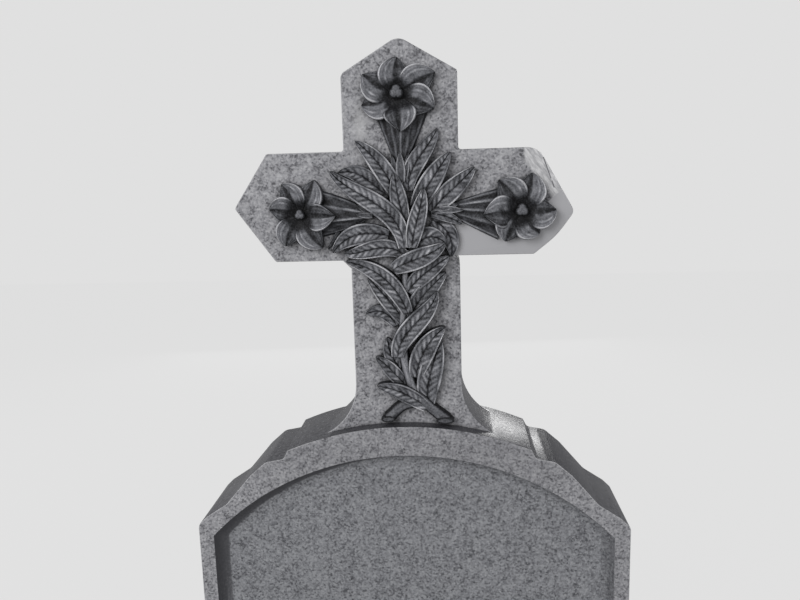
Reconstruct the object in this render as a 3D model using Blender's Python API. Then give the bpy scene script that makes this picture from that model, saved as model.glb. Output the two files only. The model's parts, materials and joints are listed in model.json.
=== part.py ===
# Carved granite headstone: an arched tablet with stepped shoulders and a sunken panel,
# and a cross with pointed ends that carries a carved lily plant, all cut from one block.
# Metres, +Z up. The origin is the middle of the underside, and the face looks along -Y.

import math

import bmesh
import bpy
from mathutils import Vector

# Tablet
TABLET_WIDTH = 0.602
TABLET_HEIGHT = 0.659          # underside to the crown of the arch
STONE_THICKNESS = 0.131
ARCH_RADIUS = 0.430
ARCH_END_INSET = 0.134         # from the side of the tablet to the end of the arch

# Shoulder, outwards from the end of the arch: width taken, drop, and rounding of the far corner
SHOULDER_RUNS = (
    (0.006, 0.0120, 0.008),    # small step under the arch
    (0.026, 0.0048, 0.016),    # flat ledge
    (0.023, 0.0200, 0.022),    # crown of the ogee
    (0.036, 0.0420, 0.024),    # steep side of the ogee
    (0.030, 0.0195, 0.016),    # hollow of the ogee
    (0.013, 0.0127, 0.012),    # outer corner
)

# Sunken panel
BORDER_SIDE = 0.021
BORDER_TOP = 0.041
BORDER_BOTTOM = 0.062
PANEL_SPRING_DROP = 0.016      # arch of the panel starts this far under the outer corner
COVE_RADIUS = 0.018            # hollow moulding round the panel, and the depth of the panel

# Cross
LEDGE = 0.020                  # tablet top left standing in front of the cross, and behind it
STEM_LEFT = 0.0705
STEM_RIGHT = 0.0745
STEM_LENGTH = 0.2300           # crown of the arch to the underside of the right arm
FOOT_RADIUS = 0.080
FOOT_SINK = 0.0015             # the foot's curve runs this far into the arch
ARM_TOP_LEFT = 0.0705          # over the middle line of the arms
ARM_TOP_RIGHT = 0.0690
ARM_LOW_LEFT = 0.0725          # under it
ARM_LOW_RIGHT = 0.0685
ARM_STRAIGHT = 0.102           # outwards from the stem
ARM_POINT = 0.047              # length of the pointed end
ARM_POINT_SAG = 0.014          # the right point sits lower than the left one
ARM_BULGE = 0.0052             # swelling of the mended edge under the right point
ARM_BULGE_ROUND = 0.100
ARM_ROUND = 0.005
ARM_WORN_ROUND = 0.025         # rubbed upper corner of the right arm
HEAD_STRAIGHT = 0.0975         # top of the left arm to the shoulders of the head
HEAD_POINT = 0.044
HEAD_OVERHANG = 0.0045         # left side of the head stands this far outside the stem
HEAD_APEX_ROUND = 0.020
HEAD_LEFT_ROUND = 0.010
HEAD_RIGHT_ROUND = 0.004
INNER_ROUND = 0.004
CHAMFER_LEFT = 0.011           # left corner under the arm
NICK_RIGHT = 0.006             # small chip in the right corner under the arm
NICK_HEIGHT = 0.013

# Carving
CARVING_CLEARANCE = 0.0005     # highest carving to the plane of the tablet's face
ROOT_SINK = 0.006              # the carving's solids reach this far into the cross
SINK_STEP = 0.00004            # each solid a little deeper than the one before
THROAT_RADIUS = 0.010
THROAT_FLOOR = 1.5             # radius of the throat's floor, under the petals, in throat radii
THROAT_RISE = 0.30
KNOB_RADIUS = 0.0085
KNOB_TAPER = 0.6
KNOB_RISE = 0.55
VINE_HALF_WIDTH = 0.0052
ROOT_HALF_WIDTH = 0.0085

# Outlines: where on a half sine the blade starts, and how full it is (less is fuller)
LEAF_START = 0.14
LEAF_FULLNESS = 0.62
PETAL_START = 0.16
PETAL_FULLNESS = 0.75
PETAL_SWELL = 1.15             # moves the widest part of a petal towards its tip

# Cross-sections, as shares of the blade's own rise
LEAF_RIB = 0.86                # height of the sunken midrib
LEAF_BASE_RISE = 0.74
LEAF_TIP_FALL = 0.22
LEAF_SIDE_FALL = 0.16
PETAL_RIB = 0.90
PETAL_BASE_RISE = 0.34
PETAL_TIP_FALL = 0.42
PETAL_TWIST = 0.08
PETAL_ROOT = 0.7               # start of a petal, in throat radii
TRUMPET_NECK_RISE = 0.55
TRUMPET_FLARE = 0.85
TRUMPET_SIDE_RISE = 0.12
TRUMPET_ROUNDNESS = 0.7
VINE_SIDE_RISE = 0.25
VINE_ROUNDNESS = 0.6

# Facets
ARC_STEP = math.radians(8)
ARCH_SEGMENTS = 26
BLADE_LENGTH_SEGMENTS = 8
PETAL_LENGTH_SEGMENTS = 6
BLADE_WIDTH_SEGMENTS = 4
TRUMPET_WIDTH_SEGMENTS = 6
VINE_SEGMENTS_PER_SPAN = 2
KNOB_SEGMENTS = 12
COVE_SEGMENTS = 5
TANGENT_STEP = 0.01            # share of a path over which its direction is measured
STRAIGHT_TURN = 0.02           # radians; a corner that turns less stays sharp
WELD = 1e-6
FLAT_ANGLE = math.radians(0.1)

# Worked out from the sizes above
HALF_WIDTH = TABLET_WIDTH / 2
FRONT = -STONE_THICKNESS / 2
CROSS_FACE = FRONT + LEDGE
CROSS_THICKNESS = STONE_THICKNESS - 2 * LEDGE
RISE = LEDGE - CARVING_CLEARANCE
ARMS_Z = TABLET_HEIGHT + STEM_LENGTH + ARM_LOW_RIGHT
ARCH_END_X = HALF_WIDTH - ARCH_END_INSET
ARCH_SAG = ARCH_RADIUS - math.sqrt(ARCH_RADIUS ** 2 - ARCH_END_X ** 2)

# Leaves, from the middle of the arms, x to the right and z up: where each one springs from,
# where it ends, how far its rib bows to the left of the straight line at one and two thirds,
# its width, and its rise as a share of the deepest carving
LEAVES = {
    "sweeping_left": ((0.002, -0.056), (-0.092, 0.046), -0.039, 0.004, 0.027, 0.94),
    "upper_left": ((-0.002, 0.007), (-0.058, 0.083), -0.006, -0.010, 0.026, 0.62),
    "upper_left_back": ((-0.017, 0.012), (-0.082, 0.043), -0.001, -0.020, 0.027, 0.40),
    "middle_left": ((0.004, -0.022), (-0.008, 0.041), 0.003, 0.002, 0.023, 0.80),
    "middle_right": ((0.012, -0.056), (0.029, 0.021), 0.003, -0.003, 0.024, 0.96),
    "upper_right_back": ((0.009, 0.018), (0.048, 0.096), 0.016, -0.002, 0.025, 0.52),
    "upper_right": ((0.018, -0.004), (0.064, 0.066), 0.002, 0.001, 0.028, 0.68),
    "arm_right": ((0.038, -0.010), (0.095, 0.046), 0.003, -0.002, 0.027, 0.58),
    "curl_right": ((0.038, -0.013), (0.078, -0.027), 0.005, 0.004, 0.014, 0.62),
    "hanging_right": ((0.040, -0.021), (0.063, -0.069), 0.013, 0.014, 0.025, 0.34),
    "behind_lily": ((-0.080, -0.030), (-0.100, -0.057), 0.002, 0.002, 0.012, 0.26),
    "low_left_back": ((-0.019, -0.040), (-0.093, -0.061), -0.015, -0.020, 0.028, 0.60),
    "low_left": ((0.002, -0.066), (-0.078, -0.062), -0.022, 0.002, 0.024, 0.74),
    "folded_front": ((-0.013, -0.084), (0.056, -0.050), 0.002, -0.008, 0.027, 1.00),
    "folded_back": ((0.011, -0.060), (0.057, -0.052), 0.014, 0.021, 0.030, 0.66),
    "stem_left": ((0.004, -0.143), (-0.076, -0.072), -0.021, -0.021, 0.025, 0.84),
    "stem_right": ((0.005, -0.115), (0.061, -0.068), 0.007, 0.003, 0.025, 0.68),
    "stem_right_back": ((0.007, -0.153), (0.056, -0.090), 0.009, 0.005, 0.027, 0.54),
    "stem_left_back": ((0.001, -0.158), (-0.048, -0.094), -0.004, -0.002, 0.024, 0.56),
    "small_left": ((-0.012, -0.161), (-0.053, -0.145), -0.014, -0.016, 0.020, 0.40),
    "crossing": ((-0.011, -0.203), (0.044, -0.114), 0.018, -0.011, 0.028, 0.92),
    "crossing_back": ((-0.007, -0.225), (-0.024, -0.177), 0.004, 0.006, 0.022, 0.36),
    "foot_right": ((0.013, -0.232), (0.053, -0.163), 0.010, 0.011, 0.030, 0.74),
    "foot_right_back": ((0.028, -0.271), (0.045, -0.177), 0.009, -0.001, 0.033, 0.58),
    "foot_left": ((-0.002, -0.244), (-0.041, -0.204), -0.001, -0.004, 0.021, 0.46),
    "lowest_left": ((0.027, -0.275), (-0.040, -0.243), -0.008, -0.008, 0.023, 0.80),
}

# Lilies: middle, then each petal's direction in degrees and its length
LILIES = {
    "top": ((-0.003, 0.140), (
        (88, 0.045), (28, 0.054), (-21, 0.048), (-86, 0.048), (-167, 0.046), (147, 0.049))),
    "left": ((-0.136, -0.011), (
        (65, 0.051), (117, 0.047), (168, 0.040), (-116, 0.044), (-55, 0.052), (-1, 0.049))),
    "right": ((0.155, -0.012), (
        (126, 0.050), (75, 0.050), (2, 0.044), (-51, 0.037), (-118, 0.044), (-176, 0.050))),
}
PETAL_WIDTH = 0.029
PETAL_BOW = 0.006

# Trumpets behind the lilies: narrow end, mouth, half the width of the mouth
TRUMPETS = {
    "top": ((-0.001, 0.042), (0.001, 0.118), 0.032),
    "left": ((-0.050, -0.012), (-0.112, -0.009), 0.030),
    "right": ((0.065, -0.006), (0.130, -0.011), 0.030),
}
TRUMPET_NECK = 0.10            # narrow end as a share of the mouth
TRUMPET_RISE = 0.60

# Vine and its two roots: points along each one, half its width at both ends, and its rise as a
# share of the deepest carving
VINES = {
    "vine": ((
        (0.006, -0.059), (0.0025, -0.080), (0.001, -0.110), (-0.003, -0.160),
        (-0.003, -0.197), (0.001, -0.225), (0.010, -0.250), (0.027, -0.270)),
        VINE_HALF_WIDTH, ROOT_HALF_WIDTH, 0.50),
    "root_right": (((0.016, -0.257), (0.032, -0.275), (0.053, -0.293)),
                   ROOT_HALF_WIDTH, ROOT_HALF_WIDTH, 0.62),
    "root_left": (((0.030, -0.274), (0.012, -0.269), (-0.007, -0.273), (-0.026, -0.290)),
                  ROOT_HALF_WIDTH, ROOT_HALF_WIDTH, 0.54),
}


def clear_scene():
    for old in list(bpy.data.objects):
        bpy.data.objects.remove(old, do_unlink=True)


def new_collection(name):
    collection = bpy.data.collections.new(name)
    bpy.context.scene.collection.children.link(collection)
    return collection


def granite_material():
    material = bpy.data.materials.new("grey granite")
    material.use_nodes = True
    shader = material.node_tree.nodes["Principled BSDF"]
    shader.inputs["Base Color"].default_value = (0.205, 0.205, 0.212, 1.0)
    shader.inputs["Roughness"].default_value = 0.75
    shader.inputs["Metallic"].default_value = 0.0
    return material


def rounded_outline(corners):
    """Corners (x, z, radius) to a closed run of points, each corner turned by an arc."""
    points = []
    for index, (x, z, radius) in enumerate(corners):
        here = Vector((x, z))
        before = Vector(corners[index - 1][:2]) - here
        after = Vector(corners[(index + 1) % len(corners)][:2]) - here
        turn = math.pi - before.angle(after)
        if radius == 0 or turn < STRAIGHT_TURN:
            points.append((x, z))
            continue
        reach = radius * math.tan(turn / 2)
        start = here + before.normalized() * reach
        middle = here + (before.normalized() + after.normalized()).normalized() * (
            radius / math.cos(turn / 2))
        spoke = start - middle
        side = math.copysign(1, before.x * after.y - before.y * after.x)
        steps = max(1, round(turn / ARC_STEP))
        for step in range(steps + 1):
            angle = -side * turn * step / steps
            points.append((
                middle.x + spoke.x * math.cos(angle) - spoke.y * math.sin(angle),
                middle.y + spoke.x * math.sin(angle) + spoke.y * math.cos(angle)))
    return points


def arc_points(middle, radius, start, end, steps):
    """Points on a circle from one angle to another, both ends included."""
    return [(middle[0] + radius * math.cos(start + (end - start) * step / steps),
             middle[1] + radius * math.sin(start + (end - start) * step / steps))
            for step in range(steps + 1)]


def face_outwards(bm):
    bmesh.ops.recalc_face_normals(bm, faces=bm.faces)
    if bm.calc_volume(signed=True) < 0:
        bmesh.ops.reverse_faces(bm, faces=bm.faces)


def mesh_of(source, name):
    """The evaluated mesh of an object, welded and in world space, as a new object."""
    bpy.context.view_layer.update()
    evaluated = source.evaluated_get(bpy.context.evaluated_depsgraph_get())
    mesh = bpy.data.meshes.new_from_object(evaluated)
    mesh.transform(source.matrix_world)
    bm = bmesh.new()
    bm.from_mesh(mesh)
    bmesh.ops.remove_doubles(bm, verts=bm.verts, dist=WELD)
    bmesh.ops.dissolve_limit(bm, angle_limit=FLAT_ANGLE, verts=bm.verts, edges=bm.edges)
    face_outwards(bm)
    bm.to_mesh(mesh)
    bm.free()
    bpy.data.objects.remove(source, do_unlink=True)
    return bpy.data.objects.new(name, mesh)


def plate(name, points, front, back, collection):
    """A flat outline in x and z, extruded from front to back."""
    curve = bpy.data.curves.new(name, "CURVE")
    curve.dimensions = "2D"
    curve.fill_mode = "BOTH"
    curve.extrude = (back - front) / 2
    spline = curve.splines.new("POLY")
    spline.points.add(len(points) - 1)
    for point, (x, z) in zip(spline.points, points):
        point.co = (x, z, 0, 1)
    spline.use_cyclic_u = True
    outline = bpy.data.objects.new(name + "_outline", curve)
    outline.rotation_euler = (math.pi / 2, 0, 0)
    outline.location = (0, (front + back) / 2, 0)
    collection.objects.link(outline)
    solid = mesh_of(outline, name)
    collection.objects.link(solid)
    return solid


def tablet_corners():
    """Right half of the tablet from the end of the arch down to the side."""
    x = ARCH_END_X
    z = TABLET_HEIGHT - ARCH_SAG
    corners = [(x, z, 0)]
    for run, drop, radius in SHOULDER_RUNS:
        x += run
        z -= drop
        corners.append((x, z, radius))
    return corners


def tablet_points():
    half = tablet_corners()
    right = [(HALF_WIDTH, 0, 0)] + half[::-1]
    left = [(-x, z, radius) for x, z, radius in right[::-1]]
    shoulders = rounded_outline(right + left)
    middle = (0, TABLET_HEIGHT - ARCH_RADIUS)
    swing = math.asin(ARCH_END_X / ARCH_RADIUS)
    arch = arc_points(middle, ARCH_RADIUS, math.pi / 2 - swing, math.pi / 2 + swing, ARCH_SEGMENTS)
    split = shoulders.index((ARCH_END_X, half[0][1]))
    return shoulders[:split] + arch + shoulders[split + 2:]


def panel_points():
    """The sunken panel at the face of the tablet."""
    half = HALF_WIDTH - BORDER_SIDE
    crown = TABLET_HEIGHT - BORDER_TOP
    spring = tablet_corners()[-1][1] - PANEL_SPRING_DROP
    rise = crown - spring
    radius = (half ** 2 + rise ** 2) / (2 * rise)
    swing = math.asin(half / radius)
    arch = arc_points((0, crown - radius), radius, math.pi / 2 - swing, math.pi / 2 + swing,
                      ARCH_SEGMENTS)
    return arch + [(-half, BORDER_BOTTOM), (half, BORDER_BOTTOM)]


def panel_cutter(collection):
    """The panel's hollow, with a quarter-round cove from the border to its floor."""
    cutter = plate("panel_hollow", panel_points(), FRONT - LEDGE, FRONT, collection)
    bm = bmesh.new()
    bm.from_mesh(cutter.data)
    floor = [face for face in bm.faces if all(vert.co.y > FRONT - WELD for vert in face.verts)]
    for step in range(COVE_SEGMENTS):
        low = math.pi / 2 * step / COVE_SEGMENTS
        high = math.pi / 2 * (step + 1) / COVE_SEGMENTS
        bmesh.ops.inset_region(
            bm, faces=floor, use_even_offset=True, use_boundary=True,
            thickness=COVE_RADIUS * (math.cos(low) - math.cos(high)),
            depth=COVE_RADIUS * (math.sin(high) - math.sin(low)))
    bm.to_mesh(cutter.data)
    bm.free()
    return cutter


def foot_arc(stem_x):
    """The foot of the cross on one side, from the stem down onto the arch."""
    arch_radius = ARCH_RADIUS - FOOT_SINK
    middle_x = stem_x + FOOT_RADIUS
    reach = arch_radius + FOOT_RADIUS
    arch_middle_z = TABLET_HEIGHT - ARCH_RADIUS
    middle_z = arch_middle_z + math.sqrt(reach ** 2 - middle_x ** 2)
    end = math.pi + math.acos(middle_x / reach)
    steps = round((end - math.pi) / ARC_STEP)
    return arc_points((middle_x, middle_z), FOOT_RADIUS, math.pi, end, steps)


def cross_points():
    left = -STEM_LEFT
    right = STEM_RIGHT
    left_top = ARMS_Z + ARM_TOP_LEFT
    left_low = ARMS_Z - ARM_LOW_LEFT
    right_top = ARMS_Z + ARM_TOP_RIGHT
    right_low = ARMS_Z - ARM_LOW_RIGHT
    head = left_top + HEAD_STRAIGHT
    head_left = left - HEAD_OVERHANG
    low_corner = Vector((right + ARM_STRAIGHT - ARM_ROUND, right_low))
    right_point = Vector((right + ARM_STRAIGHT + ARM_POINT, ARMS_Z - ARM_POINT_SAG))
    along = (right_point - low_corner).normalized()
    bulge = (low_corner + right_point) / 2 + Vector((along.y, -along.x)) * ARM_BULGE
    upper = rounded_outline([
        (right, right_low - NICK_HEIGHT, 0),
        (right - NICK_RIGHT, right_low, 0),
        (*low_corner, ARM_ROUND),
        (*bulge, ARM_BULGE_ROUND),
        (*right_point, 2 * ARM_ROUND),
        (right + ARM_STRAIGHT, right_top, ARM_WORN_ROUND),
        (right, right_top, INNER_ROUND),
        (right, head, HEAD_RIGHT_ROUND),
        ((head_left + right) / 2, head + HEAD_POINT, HEAD_APEX_ROUND),
        (head_left, head, HEAD_LEFT_ROUND),
        (head_left, left_top, INNER_ROUND),
        (left - ARM_STRAIGHT - ARM_ROUND, left_top, ARM_ROUND),
        (left - ARM_STRAIGHT - ARM_POINT - ARM_ROUND, ARMS_Z, ARM_ROUND),
        (left - ARM_STRAIGHT, left_low, ARM_ROUND),
        (left - CHAMFER_LEFT, left_low, 0),
        (left, left_low - CHAMFER_LEFT, 0),
    ])
    left_foot = [(-x, z) for x, z in foot_arc(STEM_LEFT)]
    right_foot = foot_arc(STEM_RIGHT)[::-1]
    root = TABLET_HEIGHT - BORDER_TOP - ARCH_SAG
    base = [(left_foot[-1][0], root), (right_foot[0][0], root)]
    return upper + left_foot + base + right_foot


def bow_curve(base, tip, low_bow, high_bow):
    """A cubic curve from base to tip, bowed to the left of the straight line."""
    start = Vector(base)
    end = Vector(tip)
    line = end - start
    across = Vector((-line.y, line.x)).normalized()
    low = start + line / 3 + across * low_bow
    high = start + line * 2 / 3 + across * high_bow

    def at(t):
        return (start * (1 - t) ** 3 + low * 3 * t * (1 - t) ** 2
                + high * 3 * t ** 2 * (1 - t) + end * t ** 3)

    return at


def blade(name, path, half_width, rise, segments, sink, collection):
    """A carved blade: a grid bent along a path, raised over the cross, and closed below.

    path(t) gives a point (x, z) from the middle of the arms, half_width(t) half the width,
    and rise(t, s) the height over the cross, with s from -1 to 1 across the blade.
    """
    bm = bmesh.new()
    bmesh.ops.create_grid(bm, x_segments=segments[0], y_segments=segments[1], size=0.5)
    for vert in bm.verts:
        t = vert.co.x + 0.5
        s = vert.co.y * 2 if half_width(t) > 0 else 0.0
        here = path(t)
        along = path(min(t + TANGENT_STEP, 1)) - path(max(t - TANGENT_STEP, 0))
        along.normalize()
        across = Vector((-along.y, along.x)) * (half_width(t) * s)
        vert.co = (here.x + across.x, CROSS_FACE - rise(t, s), here.y + across.y + ARMS_Z)
    bmesh.ops.remove_doubles(bm, verts=bm.verts, dist=10 * WELD)
    grown = bmesh.ops.extrude_face_region(bm, geom=bm.faces[:])
    for item in grown["geom"]:
        if isinstance(item, bmesh.types.BMVert):
            item.co.y = CROSS_FACE + sink
    face_outwards(bm)
    mesh = bpy.data.meshes.new(name)
    bm.to_mesh(mesh)
    bm.free()
    solid = bpy.data.objects.new(name, mesh)
    collection.objects.link(solid)
    return solid


def pointed(t, start, fullness):
    """Width of a pointed blade as a share of its widest part, zero at its tip."""
    return max(math.sin(math.pi * min(start + (1 - start) * t, 1)), 0) ** fullness if t < 1 else 0.0


def leaf(name, base, tip, low_bow, high_bow, width, share, sink, collection):
    def half_width(t):
        return width / 2 * pointed(t, LEAF_START, LEAF_FULLNESS)

    def rise(t, s):
        along = (LEAF_BASE_RISE + (1 - LEAF_BASE_RISE) * math.sin(math.pi * t)
                 - LEAF_TIP_FALL * t ** 4)
        across = LEAF_RIB + (1 - LEAF_RIB) * math.sin(math.pi * abs(s)) - LEAF_SIDE_FALL * s * s
        return RISE * share * along * across

    return blade(name, bow_curve(base, tip, low_bow, high_bow), half_width, rise,
                 (BLADE_LENGTH_SEGMENTS, BLADE_WIDTH_SEGMENTS), sink, collection)


def petal(name, middle, degrees, length, share, sink, collection):
    heading = Vector((math.cos(math.radians(degrees)), math.sin(math.radians(degrees))))
    base = Vector(middle) + heading * THROAT_RADIUS * PETAL_ROOT
    tip = Vector(middle) + heading * length

    def half_width(t):
        return PETAL_WIDTH / 2 * pointed(t ** PETAL_SWELL, PETAL_START, PETAL_FULLNESS)

    def rise(t, s):
        along = (PETAL_BASE_RISE + (1 - PETAL_BASE_RISE) * math.sin(math.pi * t ** 0.5 / 2)
                 - PETAL_TIP_FALL * t ** 3)
        across = PETAL_RIB + (1 - PETAL_RIB) * math.sin(math.pi * abs(s)) - PETAL_TWIST * s
        return RISE * share * along * across

    return blade(name, bow_curve(base, tip, PETAL_BOW, PETAL_BOW), half_width, rise,
                 (PETAL_LENGTH_SEGMENTS, BLADE_WIDTH_SEGMENTS), sink, collection)


def domed(s, side, roundness):
    """Height across a rounded stem as a share of its crest, from its side to its crest."""
    return side + (1 - side) * max(math.cos(s * math.pi / 2), 0) ** roundness


def trumpet(name, base, mouth, mouth_half, sink, collection):
    def half_width(t):
        return mouth_half * (TRUMPET_NECK + (1 - TRUMPET_NECK) * t ** TRUMPET_FLARE)

    def rise(t, s):
        along = TRUMPET_NECK_RISE + (1 - TRUMPET_NECK_RISE) * t
        return RISE * TRUMPET_RISE * along * domed(s, TRUMPET_SIDE_RISE, TRUMPET_ROUNDNESS)

    return blade(name, bow_curve(base, mouth, 0, 0), half_width, rise,
                 (PETAL_LENGTH_SEGMENTS, TRUMPET_WIDTH_SEGMENTS), sink, collection)


def throat(name, middle, collection):
    """Floor of the flower's throat and the knob that stands in it."""
    x, z = middle
    for part, radius, taper, share, sink in (
            ("floor", THROAT_RADIUS * THROAT_FLOOR, 1, THROAT_RISE, ROOT_SINK),
            ("knob", KNOB_RADIUS, KNOB_TAPER, KNOB_RISE, ROOT_SINK / 2)):
        height = RISE * share + sink
        bm = bmesh.new()
        bmesh.ops.create_cone(bm, cap_ends=True, segments=KNOB_SEGMENTS, radius1=radius,
                              radius2=radius * taper, depth=height)
        mesh = bpy.data.meshes.new(name + part)
        bm.to_mesh(mesh)
        bm.free()
        solid = bpy.data.objects.new(f"{name}_{part}", mesh)
        solid.rotation_euler = (math.pi / 2, 0, 0)
        solid.location = (x, CROSS_FACE - RISE * share + height / 2, z + ARMS_Z)
        collection.objects.link(solid)


def smooth_path(points):
    """A smooth curve through all the points, as a function of t from 0 to 1."""
    knots = [Vector(point) for point in points]
    knots = [knots[0] * 2 - knots[1]] + knots + [knots[-1] * 2 - knots[-2]]
    spans = len(points) - 1

    def at(t):
        index = min(int(t * spans), spans - 1)
        u = t * spans - index
        p0, p1, p2, p3 = knots[index:index + 4]
        return (p1 * 2 + (p2 - p0) * u + (p0 * 2 - p1 * 5 + p2 * 4 - p3) * u ** 2
                + (p1 * 3 - p0 - p2 * 3 + p3) * u ** 3) / 2

    return at


def vine(name, points, start_half, end_half, share, sink, collection):
    def half_width(t):
        return start_half + (end_half - start_half) * t

    def rise(t, s):
        return RISE * share * domed(s, VINE_SIDE_RISE, VINE_ROUNDNESS)

    segments = VINE_SEGMENTS_PER_SPAN * (len(points) - 1)
    return blade(name, smooth_path(points), half_width, rise, (segments, BLADE_WIDTH_SEGMENTS),
                 sink, collection)


def carve_plant(collection):
    """Every leaf, petal, trumpet, vine and root, as closed solids that reach into the cross."""
    depth = ROOT_SINK
    for name, row in LEAVES.items():
        leaf("leaf_" + name, *row, depth, collection)
        depth += SINK_STEP
    for name, (middle, petals) in LILIES.items():
        for index, (degrees, length) in enumerate(petals):
            share = 0.96 if index % 2 else 0.82
            petal(f"petal_{name}_{index}", middle, degrees, length, share, depth, collection)
            depth += SINK_STEP
        throat("throat_" + name, middle, collection)
    for name, row in TRUMPETS.items():
        trumpet("trumpet_" + name, *row, depth, collection)
        depth += SINK_STEP
    for name, row in VINES.items():
        vine(name, *row, depth, collection)
        depth += SINK_STEP


def boolean(target, operation, name, tool):
    """Cut or join the target with one object, or with every object of a collection."""
    step = target.modifiers.new(name, "BOOLEAN")
    step.operation = operation
    step.solver = "EXACT"
    if isinstance(tool, bpy.types.Collection):
        step.operand_type = "COLLECTION"
        step.collection = tool
    else:
        step.object = tool


def build():
    clear_scene()
    parts = new_collection("carved granite headstone")
    cutters = new_collection("cutters")
    carving = new_collection("carving")

    headstone = plate("headstone", tablet_points(), FRONT, -FRONT, parts)
    cross = plate("cross", cross_points(), CROSS_FACE, CROSS_FACE + CROSS_THICKNESS, cutters)
    hollow = panel_cutter(cutters)
    carve_plant(carving)
    for tool in list(cutters.objects) + list(carving.objects):
        tool.hide_render = True
        tool.display_type = "WIRE"

    boolean(headstone, "DIFFERENCE", "sunken panel", hollow)
    boolean(headstone, "UNION", "cross", cross)
    boolean(headstone, "UNION", "lilies and leaves", carving)
    headstone.data.materials.append(granite_material())


build()
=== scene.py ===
# Carved granite headstone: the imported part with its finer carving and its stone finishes.
# Metres, +Z up, the carved face looks along -Y, the origin is the middle of the underside.
import json
import math
from functools import partial

import bmesh
import bpy
from mathutils import Matrix, Vector, noise

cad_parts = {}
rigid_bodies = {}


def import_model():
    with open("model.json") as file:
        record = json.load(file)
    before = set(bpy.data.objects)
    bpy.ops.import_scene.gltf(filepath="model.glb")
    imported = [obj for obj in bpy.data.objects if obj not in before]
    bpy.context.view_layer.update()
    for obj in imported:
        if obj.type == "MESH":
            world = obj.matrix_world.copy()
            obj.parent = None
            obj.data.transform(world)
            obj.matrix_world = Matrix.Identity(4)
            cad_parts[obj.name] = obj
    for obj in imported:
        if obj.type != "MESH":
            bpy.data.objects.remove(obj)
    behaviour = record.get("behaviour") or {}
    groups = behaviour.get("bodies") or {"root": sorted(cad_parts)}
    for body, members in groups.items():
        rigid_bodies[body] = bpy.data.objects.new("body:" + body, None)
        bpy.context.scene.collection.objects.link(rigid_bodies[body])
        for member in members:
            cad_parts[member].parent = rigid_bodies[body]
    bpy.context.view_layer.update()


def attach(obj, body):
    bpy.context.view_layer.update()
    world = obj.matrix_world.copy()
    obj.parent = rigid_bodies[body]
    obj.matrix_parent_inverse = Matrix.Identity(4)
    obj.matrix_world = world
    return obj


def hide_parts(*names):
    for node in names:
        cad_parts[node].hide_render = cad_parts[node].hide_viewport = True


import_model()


def linear(hexColour):
    values = [int(hexColour[i:i + 2], 16) / 255 for i in (1, 3, 5)]
    return tuple(v / 12.92 if v <= 0.04045 else ((v + 0.055) / 1.055) ** 2.4
                 for v in values) + (1,)


def setInputs(node, links):
    # links: socket name or number -> value, or just the values in order; a value may be a
    # socket, or a node that gives its first live output
    for key, value in links.items() if isinstance(links, dict) else enumerate(links):
        if isinstance(value, bpy.types.Node):
            value = next(socket for socket in value.outputs if socket.enabled)
        if isinstance(value, bpy.types.NodeSocket):
            node.id_data.links.new(value, node.inputs[key])
        else:
            node.inputs[key].default_value = value


def addNode(tree, kind, links=(), stops=None, **settings):
    node = tree.nodes.new("ShaderNode" + kind)
    for name, value in settings.items():
        setattr(node, name, value)
    setInputs(node, links)
    if stops:
        ramp = node.color_ramp
        while len(ramp.elements) < len(stops):
            ramp.elements.new(0.5)
        for element, (place, colour) in zip(ramp.elements, stops):
            element.position = place
            element.color = linear(colour)
    return node


def newObject(name, bm):
    mesh = bpy.data.meshes.new(name)
    bm.to_mesh(mesh)
    bm.free()
    thing = bpy.data.objects.new(name, mesh)
    bpy.context.scene.collection.objects.link(thing)
    return thing


def vertsOf(items):
    return [item for item in items if isinstance(item, bmesh.types.BMVert)]


def closeShell(bm):
    bmesh.ops.remove_doubles(bm, verts=bm.verts[:], dist=1e-6)
    bmesh.ops.recalc_face_normals(bm, faces=bm.faces[:])
    if bm.calc_volume(signed=True) < 0:
        bmesh.ops.reverse_faces(bm, faces=bm.faces[:])


def bakeSteps(target, steps, solver):
    # the Boolean steps are applied, and the tools go
    used = []
    for operation, tool in steps:
        step = target.modifiers.new(operation.lower(), "BOOLEAN")
        step.operation, step.solver = operation, solver
        if isinstance(tool, bpy.types.Collection):
            step.operand_type, step.collection = "COLLECTION", tool
            used += tool.objects
        else:
            step.object = tool
            used.append(tool)
    bpy.context.view_layer.update()
    solid = target.evaluated_get(bpy.context.evaluated_depsgraph_get())
    mesh = bpy.data.meshes.new_from_object(solid)
    target.modifiers.clear()
    target.data = mesh
    for thing in used:
        bpy.data.objects.remove(thing, do_unlink=True)


def softStep(value, low, high):
    t = min(max((value - low) / (high - low), 0), 1)
    return t * t * (3 - 2 * t)


def bump(value, middle, width):
    return math.exp(-((value - middle) / width) ** 2)


def rough(*spot):
    return noise.noise(Vector(spot))


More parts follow.
